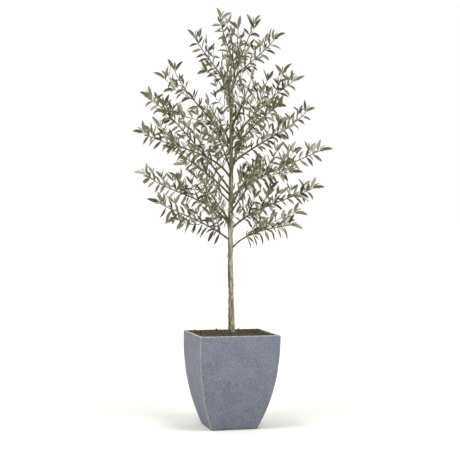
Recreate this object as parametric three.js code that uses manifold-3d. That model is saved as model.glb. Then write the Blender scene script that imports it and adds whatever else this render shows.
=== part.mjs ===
// Potted olive tree: a square bowed planter filled with soil, one slender trunk, tapering boughs
// and masses of twigs with lance-shaped leaves.
// Millimetres, +Z up. The origin is the centre of the planter's flat underside.

import * as THREE from 'three';
import { mergeVertices } from 'three/addons/utils/BufferGeometryUtils.js';
import Module from 'manifold-3d';

const wasm = await Module();
wasm.setup();

// ---------------------------------------------------------------- driving dimensions

const GAP = 0.3; // clearance between pieces that touch on the real tree

const POT = {
  height: 450,
  rimWidth: 390,
  footWidth: 223,
  bow: 2.1, // power of the inward curve from rim to foot
  drift: 10, // how far the rim sits off the foot's centre, along +X
  corner: 16, // radius of the upright edges at the rim
  wall: 14,
  floor: 24,
  rings: 8,
};

const SOIL = {
  edge: 445, // height of the soil where it meets the wall
  crest: 456, // height of the flat spot that the trunk stands on
  crestWidth: 70,
  moundRings: 3,
};

const TRUNK = {
  foot: SOIL.crest + GAP,
  // Centre line: [x, y, z]; a slender stem that wanders a little and leans at its top.
  line: [
    [12, 0, SOIL.crest + GAP],
    [11, 2, 620],
    [7, 1, 760],
    [6, -5, 1000],
    [9, -7, 1240],
    [11, 0, 1460],
    [13, 3, 1590],
    [21, -1, 1650],
    [33, -7, 1750],
  ],
  footRadius: 12, // above the root flare
  crownRadius: 7, // below the thin leader
  leaderRadius: 3.2,
  leaderStart: 1590,
  leaderFull: 1650,
  flare: 4,
  flareHeight: 38,
  flareLobes: 3,
  sides: 10,
  steps: 24,
};

const LIMB = {
  roomSteps: 8, // pieces in which a limb's own space is reserved
  footRadius: 4,
  tipRadius: 2.2,
  fullLength: 450, // a limb this long starts at footRadius, a shorter one is thinner
  collar: 2.2, // swelling where a bough leaves the trunk
  collarLength: 10,
  sides: 5,
  boughSteps: 3,
  stemSteps: 5,
  firstNode: 14, // from where a mass starts to its first leaves
  trunkNode: 38, // the same where the mass starts at the trunk
  nodeSpacing: 70,
  nodeWander: 0.6, // range in radians about the quarter turn from node to node
  shootEvery: 2, // nodes from one side shoot to the next
};

const FORK = {
  radius: 2.4,
  tipRadius: 1.8,
  sides: 4,
  steps: 3,
  firstNode: 34,
  clearFrom: 0.1, // share of the length that its limb may cover
};

const SHOOT = {
  longest: 110,
  shortest: 46,
  pairFrom: 92, // a shoot longer than this has a pair of leaves on the way
  radius: 1.8,
  tipRadius: 1.5,
  angle: 50, // off the stem's direction
  follow: 0.35, // how far its end turns back to the stem's direction
  lift: 0.5, // how strongly a shoot turns up
  vary: [0.75, 1.15], // shortest and longest against the length due at its place
  clearFrom: 0.15,
  pairAt: 0.55, // share of the length
  tipAt: 0.96,
  leafSize: [0.8, 0.96],
  sides: 3,
  steps: 2,
};

const LEAF = {
  length: 90,
  width: 27,
  sideSize: [0.85, 1],
  tipSize: 0.8, // of the pair at a stem's end
  aheadSize: 0.7, // of the leaf straight on
  tipAt: 0.98, // share of the stem's length
  aheadAt: 0.995,
  tipRoll: 1.2, // turn about the midrib that shows a stem's last pair broadside
  thickness: 2.4,
  widest: 0.42, // share of the length
  arch: 0.07, // rise of the middle over the straight line from root to tip
  roll: 2.2, // range in radians over which side leaves turn about their midribs
  facesUp: 0.6, // how far a leaf's face turns from its shoot's direction to the sky
  clearFrom: 0.12, // share of the length that its own wood may cover
  room: 1, // clearance from anything that isn't its own shoot
  rootStep: 4, // between the roots of a pair
};

// The angle between a leaf and the wood it grows on, and how far it sinks towards the ground.
const SPREAD = {
  side: { angle: 50 * Math.PI / 180, droop: 0.3 },
  tip: { angle: 36 * Math.PI / 180, droop: 0 },
  ahead: { angle: 8 * Math.PI / 180, droop: 0 },
};

// Limbs from the lowest up. Each is one curve in the upright plane at its azimuth:
// height on the trunk, azimuth in degrees from +X, reach out from the trunk, rise,
// angle above level where it leaves and where it arrives, and the bare share of its length.
// A limb with no bare share has no bough: its mass of foliage starts at the trunk.
const LIMBS = [
  [848, 322, 308, 119, 51, 7, 0.28],
  [892, 178, 341, 178, 41, 27, 0.13],
  [905, 84, 380, 185, 46, 22, 0.3],
  [945, 358, 410, 202, 47, 24, 0.15],
  [962, 142, 465, 259, 56, 36, 0.2],
  [982, 235, 352, 185, 26, 30, 0.3],
  [1025, 274, 372, 213, 28, 51, 0.28],
  [1054, 52, 345, 201, 40, 17, 0.28],
  [1074, 100, 309, 165, 25, 38, 0.3],
  [1103, 340, 423, 218, 42, 25, 0.18],
  [1108, 208, 355, 205, 40, 24, 0.28],
  [1132, 136, 472, 479, 51, 38, 0.24],
  [1188, 182, 429, 213, 62, 27, 0.26],
  [1205, 68, 390, 240, 44, 30, 0.28],
  [1222, 242, 350, 220, 40, 38, 0.3],
  [1258, 16, 432, 277, 41, 43, 0.24],
  [1287, 146, 297, 441, 80, 67, 0.24],
  [1317, 226, 216, 72, 60, 21, 0],
  [1331, 294, 345, 178, 26, 14, 0.28],
  [1345, 96, 340, 240, 46, 36, 0.28],
  [1365, 0, 309, 303, 56, 35, 0.24],
  [1420, 276, 270, 215, 44, 46, 0.28],
  [1440, 52, 285, 225, 48, 42, 0.28],
  [1500, 88, 225, 205, 52, 48, 0],
  [1520, 250, 185, 180, 48, 52, 0],
  [1559, 208, 152, 134, 45, 5, 0],
  [1579, 136, 204, 306, 73, 59, 0.26],
  [1600, 62, 165, 190, 50, 56, 0],
  [1676, 321, 209, 170, 45, 47, 0],
  [1690, 250, 120, 165, 48, 62, 0],
  [1705, 100, 115, 150, 50, 62, 0],
  [1718, 26, 118, 230, 58, 62, 0],
  [1732, 186, 76, 226, 66, 80, 0],
  [1751, 20, 12, 165, 85, 88, 0],
];

// Long side branches inside a mass: the number of the limb that carries each, the share of
// that limb's length where it starts, then its azimuth, reach, rise and angles as above.
const FORKS = [
  [1, 0.37, 6, 52, 106, 49, 56],
  [1, 0.49, 354, 181, 92, 29, 13],
  [2, 0.15, 146, 39, 102, 64, 58],
  [2, 0.43, 201, 143, 14, -36, 3],
  [4, 0.18, 36, 85, 106, 54, 45],
  [5, 0.24, 171, 78, 144, 71, 61],
  [10, 0.24, 316, 217, 48, 29, 8],
  [12, 0.69, 171, 65, 89, 26, 63],
  [13, 0.59, 156, 108, 98, 12, 58],
  [17, 0.31, 201, 202, 54, 35, 21],
  [17, 0.82, 176, 89, 35, 25, 53],
  [21, 0.48, 26, 59, 147, 69, 60],
  [21, 0.72, 326, 46, 106, 63, 62],
];

const COLOURS = {
  pot: { color: 0x82868f, roughness: 0.82, metalness: 0 },
  soil: { color: 0x4f4b37, roughness: 0.95, metalness: 0 },
  bark: { color: 0x8f8b74, roughness: 0.85, metalness: 0 },
  foliage: { color: 0x807d68, roughness: 0.6, metalness: 0 },
};

// ---------------------------------------------------------------- small helpers

const UP = new THREE.Vector3(0, 0, 1);
const { lerp, degToRad, smoothstep } = THREE.MathUtils;
const EQUATOR = Math.sqrt(3) / 2; // half the side of a triangle in a unit circle

// The same pair of numbers always gives the same share between 0 and 1.
function chance(a, b) {
  const wave = Math.sin(a * 12.9898 + b * 78.233) * 43758.5453;
  return wave - Math.floor(wave);
}

function between([low, high], seed, draw) {
  return lerp(low, high, chance(seed, draw));
}

function rollOf(seed, draw) {
  return LEAF.roll * (chance(seed, draw) - 0.5);
}

function solidOf(geometry) {
  geometry.deleteAttribute('normal');
  geometry.deleteAttribute('uv');
  const merged = mergeVertices(geometry);
  return new wasm.Manifold(new wasm.Mesh({
    numProp: 3,
    vertProperties: merged.getAttribute('position').array,
    triVerts: Uint32Array.from(merged.getIndex().array),
  }));
}

function geometryOf(solid) {
  const mesh = solid.getMesh();
  const geometry = new THREE.BufferGeometry();
  geometry.setAttribute('position', new THREE.Float32BufferAttribute(mesh.vertProperties, 3));
  geometry.setIndex(Array.from(mesh.triVerts));
  geometry.computeVertexNormals();
  return geometry;
}

// Moves every vertex of a geometry to place(vertex).
function reshape(geometry, place) {
  const position = geometry.getAttribute('position');
  const vertex = new THREE.Vector3();
  for (let i = 0; i < position.count; i += 1) {
    vertex.fromBufferAttribute(position, i);
    position.setXYZ(i, ...place(vertex).toArray());
  }
  return geometry;
}

// The stretch of a curve between two shares of its length, as evenly spaced points.
// What grows on a limb is rooted on this line, so it sits inside the limb's faceted solid.
function lineOf(curve, from, to, steps) {
  const side = new THREE.Vector3().crossVectors(curve.getTangentAt(0), curve.getTangentAt(1));
  if (side.length() < 1e-3) side.set(0, 1, 0);
  const points = [];
  const headings = [];
  for (let i = 0; i <= steps; i += 1) {
    const share = lerp(from, to, i / steps);
    points.push(curve.getPointAt(share));
    headings.push(curve.getTangentAt(share));
  }
  return { points, headings, side: side.normalize() };
}

function pointOn({ points }, share) {
  const at = share * (points.length - 1);
  const step = Math.min(points.length - 2, Math.floor(at));
  return points[step].clone().lerp(points[step + 1], at - step);
}

function headingOn({ headings }, share) {
  const at = share * (headings.length - 1);
  const step = Math.min(headings.length - 2, Math.floor(at));
  return headings[step].clone().lerp(headings[step + 1], at - step).normalize();
}

// A closed tube along a line. radiusAt(share, turn) is its radius, so it can taper and flare.
function tube(line, radiusAt, sides) {
  const steps = line.points.length - 1;
  return reshape(new THREE.CylinderGeometry(1, 1, steps, sides, steps), (vertex) => {
    const share = vertex.y / steps + 0.5;
    const ring = Math.round(share * steps);
    const along = line.headings[ring];
    const across = new THREE.Vector3().crossVectors(line.side, along).normalize();
    const sideways = new THREE.Vector3().crossVectors(along, across);
    const radius = radiusAt(share, Math.atan2(vertex.z, vertex.x));
    return line.points[ring].clone()
      .addScaledVector(sideways, radius * vertex.x)
      .addScaledVector(across, radius * vertex.z);
  });
}

// ---------------------------------------------------------------- planter and soil

// Width of the planter's outside at a height: widest at the rim, drawn in towards the foot.
function potWidth(height) {
  const below = Math.max(0, 1 - height / POT.height);
  return POT.rimWidth - (POT.rimWidth - POT.footWidth) * below ** POT.bow;
}

function potDrift(height) {
  return POT.drift * Math.min(1, height / POT.height);
}

// A square with rounded corners, stretched upwards through rings of { width, height }.
function squareStack(rings) {
  const half = POT.rimWidth / 2;
  const inner = half - POT.corner;
  const shape = new THREE.Shape();
  for (let corner = 0; corner < 4; corner += 1) {
    const turn = corner * Math.PI / 2;
    const diagonal = turn + Math.PI / 4;
    const x = inner * Math.SQRT2 * Math.cos(diagonal);
    const y = inner * Math.SQRT2 * Math.sin(diagonal);
    shape.absarc(x, y, POT.corner, turn, turn + Math.PI / 2);
  }
  const last = rings.length - 1;
  const stack = new THREE.ExtrudeGeometry(shape, {
    depth: last,
    steps: last,
    curveSegments: 1,
    bevelEnabled: false,
  });
  return reshape(stack, (vertex) => {
    const ring = rings[Math.round(vertex.z)];
    const scale = ring.width / POT.rimWidth;
    return new THREE.Vector3(vertex.x * scale + potDrift(ring.height), vertex.y * scale, ring.height);
  });
}

function wallRings(low, high, inset) {
  return Array.from({ length: POT.rings + 1 }, (_, i) => {
    const height = lerp(low, high, i / POT.rings);
    return { height, width: potWidth(height) - 2 * inset };
  });
}

function potGeometry() {
  const outside = squareStack(wallRings(0, POT.height, 0));
  const hollow = wallRings(POT.floor, POT.height, POT.wall);
  hollow.push({ height: POT.height + POT.wall, width: hollow[POT.rings].width });
  return geometryOf(solidOf(outside).subtract(solidOf(squareStack(hollow))));
}

// The soil has its rings at the same heights as the hollow, so that the gap stays even.
function soilGeometry() {
  const inset = POT.wall + GAP;
  const rings = wallRings(POT.floor, POT.height, inset);
  const edgeWidth = potWidth(SOIL.edge) - 2 * inset;
  rings[0].height += GAP;
  rings[POT.rings] = { height: SOIL.edge, width: edgeWidth };
  for (let i = 1; i <= SOIL.moundRings; i += 1) {
    const share = i / SOIL.moundRings;
    rings.push({
      height: lerp(SOIL.edge, SOIL.crest, Math.sin(share * Math.PI / 2)),
      width: lerp(edgeWidth, SOIL.crestWidth, share),
    });
  }
  return geometryOf(solidOf(squareStack(rings)));
}

// ---------------------------------------------------------------- trunk

const trunkCurve = new THREE.CatmullRomCurve3(TRUNK.line.map((p) => new THREE.Vector3(...p)));

// Share of the trunk's length at which it reaches a height.
function trunkShare(height) {
  let low = 0;
  let high = 1;
  while (high - low > 1e-4) {
    const middle = (low + high) / 2;
    if (trunkCurve.getPointAt(middle).z < height) low = middle;
    else high = middle;
  }
  return (low + high) / 2;
}

function trunkRadius(height, turn) {
  const share = (height - TRUNK.foot) / (TRUNK.leaderStart - TRUNK.foot);
  const stem = lerp(TRUNK.footRadius, TRUNK.crownRadius, Math.min(1, share));
  const leader = smoothstep(height, TRUNK.leaderStart, TRUNK.leaderFull);
  const flare = TRUNK.flare * Math.exp(-(height - TRUNK.foot) / TRUNK.flareHeight);
  const lobes = 1 + 0.5 * Math.cos(TRUNK.flareLobes * turn);
  return lerp(stem, TRUNK.leaderRadius, leader) + flare * lobes;
}

// extra widens the trunk, for cutting what grows out of it.
function trunkSolid(extra) {
  const line = lineOf(trunkCurve, 0, 1, TRUNK.steps);
  line.headings[0].copy(UP); // the foot is cut level
  const radiusAt = (share, turn) => trunkRadius(pointOn(line, share).z, turn) + extra;
  return solidOf(tube(line, radiusAt, TRUNK.sides));
}

// ---------------------------------------------------------------- limbs

// A curve in the upright plane at an azimuth, from a foot, by its reach, rise and end angles.
function risingCurve(foot, [azimuth, reach, rise, leave, arrive]) {
  const turn = degToRad(azimuth);
  const outward = new THREE.Vector3(Math.cos(turn), Math.sin(turn), 0);
  const third = Math.hypot(reach, rise) / 3;
  const tip = foot.clone().addScaledVector(outward, reach).addScaledVector(UP, rise);
  const heading = (angle) => outward.clone()
    .multiplyScalar(Math.cos(degToRad(angle)))
    .addScaledVector(UP, Math.sin(degToRad(angle)));
  const afterFoot = foot.clone().addScaledVector(heading(leave), third);
  const beforeTip = tip.clone().addScaledVector(heading(arrive), -third);
  return new THREE.CubicBezierCurve3(foot, afterFoot, beforeTip, tip);
}

// A limb with the line of its leafy stem and of the forks on that stem. Each line has a family
// number of its own, which tells apart what grows on it.
function limbOf(row, index) {
  const number = index + 1;
  const height = row[0];
  const bare = row[6];
  const foot = trunkCurve.getPointAt(trunkShare(height)).setZ(height);
  const curve = risingCurve(foot, row.slice(1));
  const length = curve.getLength();
  const footRadius = lerp(LIMB.tipRadius, LIMB.footRadius, Math.min(1, length / LIMB.fullLength));
  const radiusAt = (share) => lerp(footRadius, LIMB.tipRadius, share);
  const from = bare > 0 ? bare + GAP / length : 0;
  const stem = {
    family: number,
    line: lineOf(curve, from, 1, LIMB.stemSteps),
    length: length * (1 - from),
    firstNode: bare > 0 ? LIMB.firstNode : LIMB.trunkNode,
    radiusAt: (share) => radiusAt(lerp(from, 1, share)),
    sides: LIMB.sides,
  };
  const forks = FORKS.filter((fork) => fork[0] === number).map(([, share, ...shape], i) => {
    const forkCurve = risingCurve(pointOn(stem.line, (share - from) / (1 - from)), shape);
    return {
      family: number + (i + 1) / 10,
      line: lineOf(forkCurve, 0, 1, FORK.steps),
      length: forkCurve.getLength(),
      firstNode: FORK.firstNode,
      radiusAt: (at) => lerp(FORK.radius, FORK.tipRadius, at),
      sides: FORK.sides,
    };
  });
  return { number, curve, length, bare, radiusAt, stems: [stem, ...forks] };
}

// The bare part of a limb, cut clear of the trunk, with a collar where it leaves it.
function boughSolid({ curve, length, bare, radiusAt }, trunkRoom) {
  const line = lineOf(curve, 0, bare, LIMB.boughSteps);
  const swollen = (share) => {
    const collar = LIMB.collar * Math.exp(-share * bare * length / LIMB.collarLength);
    return radiusAt(share * bare) + collar;
  };
  return solidOf(tube(line, swollen, LIMB.sides)).subtract(trunkRoom);
}

// ---------------------------------------------------------------- space that is taken

const taken = [];

function reserve(family, points, radius) {
  for (let i = 1; i < points.length; i += 1) {
    taken.push({ family, line: new THREE.Line3(points[i - 1], points[i]), radius });
  }
}

// True if a run of points, thickened by radius, stays clear of every reserved piece
// but those of its own family: the wood that it grows on and what else grows there.
function isClear(family, points, radius) {
  for (let i = 1; i < points.length; i += 1) {
    const line = new THREE.Line3(points[i - 1], points[i]);
    for (const other of taken) {
      const room = radius + other.radius;
      if (other.family !== family && line.distanceSqToLine3(other.line) < room * room) return false;
    }
  }
  return true;
}

// ---------------------------------------------------------------- twigs and leaves

// The direction that leaves `along` by an angle, on the side given by a turn about it.
function branchOff(along, turn, angle) {
  const level = new THREE.Vector3().crossVectors(along, UP);
  if (level.length() < 1e-3) level.set(1, 0, 0);
  level.normalize();
  const upper = new THREE.Vector3().crossVectors(level, along);
  const outward = level.multiplyScalar(Math.cos(turn)).addScaledVector(upper, Math.sin(turn));
  return along.clone()
    .multiplyScalar(Math.cos(angle))
    .addScaledVector(outward, Math.sin(angle))
    .normalize();
}

// A closed blade of six faces: root, tip, two edges at its widest and a ridge between them.
function leafGeometry(root, middle, tip, face, width) {
  const across = tip.clone().sub(root).cross(face).normalize();
  return reshape(new THREE.SphereGeometry(1, 3, 2), ({ x, y, z }) => {
    if (y > 0.5) return tip.clone();
    if (y < -0.5) return root.clone();
    const ridge = x < 0 ? LEAF.thickness : 0;
    return middle.clone()
      .addScaledVector(face, ridge)
      .addScaledVector(across, z / EQUATOR * width / 2);
  });
}

// Grows one leaf from a point on a wood line into parts, unless something is in its way.
function addLeaf(parts, family, line, share, { turn, angle, droop, roll, size }) {
  const root = pointOn(line, share);
  const along = headingOn(line, share);
  const direction = branchOff(along, turn, angle);
  direction.z -= droop;
  direction.normalize();
  const face = along.clone().lerp(UP, LEAF.facesUp);
  face.addScaledVector(direction, -face.dot(direction)).normalize();
  face.applyAxisAngle(direction, roll);
  const length = LEAF.length * size;
  const width = LEAF.width * size;
  const at = (portion) => root.clone().addScaledVector(direction, length * portion);
  const middle = at(LEAF.widest).addScaledVector(face, length * LEAF.arch);
  const tip = at(1);
  const rib = [at(LEAF.clearFrom), middle, tip];
  if (!isClear(family, rib, width / 2 + LEAF.room)) return;
  reserve(family, rib, width / 2);
  parts.push(solidOf(leafGeometry(root, middle, tip, face, width)));
}

// A pair of opposite leaves, the second a little further on so that the roots stay apart.
function addPair(parts, family, line, share, leaf) {
  const step = LEAF.rootStep / line.points[0].distanceTo(line.points[line.points.length - 1]);
  addLeaf(parts, family, line, share, leaf);
  addLeaf(parts, family, line, share - step, { ...leaf, turn: leaf.turn + Math.PI, roll: -leaf.roll });
}

// A side shoot leaves its stem at an angle and turns up towards the light.
function addShoot(parts, parent, stem, share, turn, length, family) {
  const along = headingOn(stem, share);
  const start = branchOff(along, turn, degToRad(SHOOT.angle));
  const rising = start.clone().lerp(along, SHOOT.follow).addScaledVector(UP, SHOOT.lift).normalize();
  const from = pointOn(stem, share);
  const bend = from.clone().addScaledVector(start, length / 2);
  const tip = bend.clone().addScaledVector(rising, length / 2);
  const line = lineOf(new THREE.QuadraticBezierCurve3(from, bend, tip), 0, 1, SHOOT.steps);
  const free = [pointOn(line, SHOOT.clearFrom), ...line.points.slice(1)];
  if (!isClear(parent, free, SHOOT.radius + LEAF.room)) return;
  reserve(family, free, SHOOT.radius);
  parts.push(solidOf(tube(line, (at) => lerp(SHOOT.radius, SHOOT.tipRadius, at), SHOOT.sides)));
  const quarter = chance(family, 4) * Math.PI;
  const size = between(SHOOT.leafSize, family, 7);
  const side = { ...SPREAD.side, turn: quarter, roll: rollOf(family, 9), size };
  if (length > SHOOT.pairFrom) addPair(parts, family, line, SHOOT.pairAt, side);
  const end = { ...SPREAD.tip, turn: quarter + Math.PI / 2, roll: rollOf(family, 10), size };
  addPair(parts, family, line, SHOOT.tipAt, end);
}

// Nodes along a stem, each turned about a quarter from the last: by turns a side shoot with
// a leaf opposite, and a pair of leaves. The stem ends in three leaves.
function leafOut(parts, { family, line, length, firstNode }) {
  const ahead = { ...SPREAD.ahead, turn: 0, roll: rollOf(family, 11), size: LEAF.aheadSize };
  addLeaf(parts, family, line, LEAF.aheadAt, ahead);
  const tipTurn = Math.PI / 2 + chance(family, 5) - 0.5;
  const end = { ...SPREAD.tip, turn: tipTurn, roll: LEAF.tipRoll, size: LEAF.tipSize };
  addPair(parts, family, line, LEAF.tipAt, end);
  const count = Math.round((length - firstNode) / LIMB.nodeSpacing);
  for (let i = 0; i < count; i += 1) {
    const share = lerp(firstNode / length, 1, i / count);
    const seed = family + (i + 1) / 1000;
    const flip = Math.round(chance(seed, 1)) * Math.PI;
    const turn = i * Math.PI / 2 + flip + LIMB.nodeWander * (chance(seed, 2) - 0.5);
    const leaf = { ...SPREAD.side, turn, roll: rollOf(seed, 9), size: between(LEAF.sideSize, seed, 8) };
    if (i % LIMB.shootEvery === 0) {
      const reach = lerp(SHOOT.longest, SHOOT.shortest, share) * between(SHOOT.vary, seed, 3);
      addShoot(parts, family, line, share, turn, reach, seed);
      leaf.turn += Math.PI;
      addLeaf(parts, family, line, share + LEAF.rootStep / length, leaf);
    } else {
      addPair(parts, family, line, share, leaf);
    }
  }
}

// Everything past a limb's bare part: its stem and forks, and what grows on them, in one solid.
function massSolid({ stems }, trunkRoom) {
  const parts = stems.map(({ line, radiusAt, sides }) => solidOf(tube(line, radiusAt, sides)));
  for (const stem of stems) leafOut(parts, stem);
  return parts.reduce((sum, part) => sum.add(part)).subtract(trunkRoom);
}

// ---------------------------------------------------------------- the whole tree

const tree = new THREE.Group();

function addPiece(name, look, geometry) {
  const piece = new THREE.Mesh(geometry, new THREE.MeshStandardMaterial(COLOURS[look]));
  piece.name = name;
  tree.add(piece);
}

addPiece('pot', 'pot', potGeometry());
addPiece('soil', 'soil', soilGeometry());
addPiece('trunk', 'bark', geometryOf(trunkSolid(0)));

const trunkRoom = trunkSolid(GAP);
const limbs = LIMBS.map(limbOf);
const twoDigits = (number) => String(number).padStart(2, '0');

reserve(0, lineOf(trunkCurve, 0, 1, TRUNK.steps).points, TRUNK.footRadius);
for (const limb of limbs) {
  reserve(limb.number, lineOf(limb.curve, 0, 1, LIMB.roomSteps).points, LIMB.footRadius);
  for (const fork of limb.stems.slice(1)) {
    reserve(fork.family, [pointOn(fork.line, FORK.clearFrom), ...fork.line.points.slice(1)], FORK.radius);
  }
}

for (const limb of limbs) {
  if (limb.bare > 0) {
    addPiece(`bough_${twoDigits(limb.number)}`, 'bark', geometryOf(boughSolid(limb, trunkRoom)));
  }
  addPiece(`foliage_${twoDigits(limb.number)}`, 'foliage', geometryOf(massSolid(limb, trunkRoom)));
}

export default tree;
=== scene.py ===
# %% [markdown]
# # A potted olive tree
# A young olive grows in a square planter that bows in towards its foot. Its thin grey trunk
# carries long, slender boughs, and the boughs carry opposite pairs of narrow leaves.
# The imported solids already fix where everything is, so they are loaded first and stay as they
# are. Everything below is built around them in the same frame, in metres with Z up.

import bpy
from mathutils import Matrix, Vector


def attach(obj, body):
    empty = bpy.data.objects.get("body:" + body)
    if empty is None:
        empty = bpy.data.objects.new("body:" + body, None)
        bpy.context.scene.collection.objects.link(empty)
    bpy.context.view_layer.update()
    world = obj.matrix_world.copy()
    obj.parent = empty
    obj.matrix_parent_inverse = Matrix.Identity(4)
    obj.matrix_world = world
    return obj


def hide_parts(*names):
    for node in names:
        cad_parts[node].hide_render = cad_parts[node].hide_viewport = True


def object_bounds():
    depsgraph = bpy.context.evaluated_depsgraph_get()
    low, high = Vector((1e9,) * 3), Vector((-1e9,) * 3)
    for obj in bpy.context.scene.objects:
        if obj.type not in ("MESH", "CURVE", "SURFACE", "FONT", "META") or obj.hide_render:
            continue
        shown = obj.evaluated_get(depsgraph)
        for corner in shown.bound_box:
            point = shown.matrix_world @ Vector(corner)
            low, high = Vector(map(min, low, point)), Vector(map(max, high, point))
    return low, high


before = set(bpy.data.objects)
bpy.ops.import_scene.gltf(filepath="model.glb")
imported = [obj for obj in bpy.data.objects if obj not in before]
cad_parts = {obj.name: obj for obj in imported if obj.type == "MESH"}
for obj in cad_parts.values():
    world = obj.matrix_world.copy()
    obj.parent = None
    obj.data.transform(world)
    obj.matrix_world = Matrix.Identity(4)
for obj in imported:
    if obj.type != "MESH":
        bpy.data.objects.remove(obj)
cad_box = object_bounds()
print("solids:", len(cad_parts), "tallest point:", round(cad_box[1].z, 3), "m")

# %% Tools that every cell uses
import math

import bmesh
import bpy
import numpy as np
from mathutils import Matrix, Vector, geometry, noise

MM = 0.001
UP = Vector((0, 0, 1))


def lerp(low, high, share):
    return low + (high - low) * share


def heading(azimuth, rise=0):
    """The direction at an azimuth from +X and an angle above level, both in degrees."""
    turn, lift = math.radians(azimuth), math.radians(rise)
    level = Vector((math.cos(turn), math.sin(turn), 0))
    return level * math.cos(lift) + UP * math.sin(lift)


def smooth_step(value, low, high):
    share = min(1, max(0, (value - low) / (high - low)))
    return share * share * (3 - 2 * share)


# %% [markdown]
# ## Finishes
# A finish is a handful of nodes: patterns in real millimetres place its layers of colour and
# raise its relief. Colours are written as they are read off a screen, and one function turns
# them into the linear values that shaders use. One function adds a node with its settings and
# links, so that each finish below reads as a recipe.

# %% Colours and nodes
# The Mix node keeps its colour sockets at these places in its lists.
MIX_FACTOR, MIX_A, MIX_B, MIX_RESULT = 0, 6, 7, 2


def linear(colour):
    """An sRGB hex colour as the linear red, green, blue and alpha that a shader uses."""
    channels = [int(colour[i : i + 2], 16) / 255 for i in (1, 3, 5)]
    curve = [c / 12.92 if c <= 0.04045 else ((c + 0.055) / 1.055) ** 2.4 for c in channels]
    return (*curve, 1.0)


def set_inputs(node, inputs):
    """Gives each input of a node a value or another node's output."""
    for name, value in inputs.items():
        if isinstance(value, bpy.types.NodeSocket):
            node.id_data.links.new(value, node.inputs[name])
        else:
            node.inputs[name].default_value = value


def add_node(tree, kind, output, inputs, **settings):
    """Adds a node with its settings and links, and returns one of its outputs."""
    node = tree.nodes.new(kind)
    for name, value in settings.items():
        setattr(node, name, value)
    set_inputs(node, inputs)
    return node.outputs[output]


def new_finish(name, colour, roughness, specular):
    """A material of one colour and gloss, with the node tree and the shader to build on."""
    material = bpy.data.materials.new(name)
    material.use_nodes = True
    tree = material.node_tree
    shader = tree.nodes["Principled BSDF"]
    gloss = {"Roughness": roughness, "Specular IOR Level": specular}
    set_inputs(shader, {"Base Color": linear(colour), **gloss})
    return material, tree, shader


def grains(tree, size, detail=2, stretch=(1, 1, 1)):
    """A noise pattern on the object's own coordinates, its grains about a size across."""
    place = add_node(tree, "ShaderNodeTexCoord", "Object", {})
    mapped = add_node(tree, "ShaderNodeMapping", "Vector", {"Vector": place, "Scale": stretch})
    pattern = {"Vector": mapped, "Scale": 1 / size, "Detail": detail}
    return add_node(tree, "ShaderNodeTexNoise", "Fac", pattern)


def layered(tree, base, layers):
    """Lays colours over a base, each as its pattern goes from one value to another."""
    for colour, pattern, low, high in layers:
        span = {"Value": pattern, "From Min": low, "From Max": high}
        cover = add_node(
            tree, "ShaderNodeMapRange", "Result", span, interpolation_type="SMOOTHSTEP"
        )
        colours = {MIX_FACTOR: cover, MIX_A: base, MIX_B: linear(colour)}
        base = add_node(tree, "ShaderNodeMix", MIX_RESULT, colours, data_type="RGBA")
    return base


def dress(shader, colour, relief, depth, strength=1):
    """Gives a shader its colour, and a pattern as relief of a depth in metres."""
    heights = {"Height": relief, "Distance": depth, "Strength": strength}
    normal = add_node(shader.id_data, "ShaderNodeBump", "Normal", heights)
    set_inputs(shader, {"Base Color": colour, "Normal": normal})


# %% [markdown]
# ## Turning meshes into pieces
# Every finished piece is one object at the origin, with its place in its mesh. It rides on the
# tree's single body, hides the solids that it stands for and takes the materials that it is given.
# One function does all of that, so that no piece misses a step.

# %% Make a piece
SHARP_ANGLE = 60  # edges over this angle stay sharp, in degrees


def show(name, data):
    """A new object in the scene."""
    item = bpy.data.objects.new(name, data)
    bpy.context.scene.collection.objects.link(item)
    return item


def make_piece(name, mesh, materials, replaces=()):
    """Shows a mesh as a piece of the object."""
    for material in materials:
        mesh.materials.append(material)
    piece = show(name, mesh)
    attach(piece, "root")
    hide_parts(*replaces)
    triangles = sum(len(face.vertices) - 2 for face in mesh.polygons)
    print(f"{name}: {triangles} triangles, stands for {len(replaces)} solids")


def soften(mesh, sharp_angle=SHARP_ANGLE):
    """Shades a mesh smooth but for its sharp edges."""
    mesh.shade_smooth()
    mesh.set_sharp_from_angle(angle=math.radians(sharp_angle))
    return mesh


def mesh_of(name, shape, sharp_angle=SHARP_ANGLE):
    """Ends a bmesh as a softened mesh."""
    bmesh.ops.recalc_face_normals(shape, faces=shape.faces)
    mesh = bpy.data.meshes.new(name)
    shape.to_mesh(mesh)
    shape.free()
    return soften(mesh, sharp_angle)


def mark(mesh, **rules):
    """Stores what each rule says of each vertex's place, under a name that a finish can read."""
    for name, rule in rules.items():
        values = [rule(vertex.co) for vertex in mesh.vertices]
        mesh.attributes.new(name, "FLOAT", "POINT").data.foreach_set("value", values)


def ruffle(shape, depth, grain, seed, stretch=1.0):
    """Pushes each vertex along its normal by smooth noise with grains of a size in metres."""
    shape.normal_update()
    pushes = []
    for vertex in shape.verts:
        at = Vector((vertex.co.x, vertex.co.y, vertex.co.z / stretch)) / grain
        pushes.append(vertex.normal * depth * noise.noise(at + Vector((seed, seed, seed))))
    for vertex, push in zip(shape.verts, pushes):
        vertex.co += push


# %% [markdown]
# ## The camera
# The camera stands a little under half the tree's height and looks level, so that upright
# lines stay upright, and a little to the left of the planter's front. A long lens from over
# five metres away flattens the crown in the way that a catalogue picture does.

# %% Camera
CAMERA_DISTANCE = 5.5
CAMERA_HEIGHT = 0.9446
CAMERA_TURN = math.radians(-13.7)
IMAGE_WIDTH = 460
FOCAL_PIXELS = 1141
AXIS_SHIFT = 4.6 * MM  # the planter's axis lies this far left of the view's centre

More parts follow.
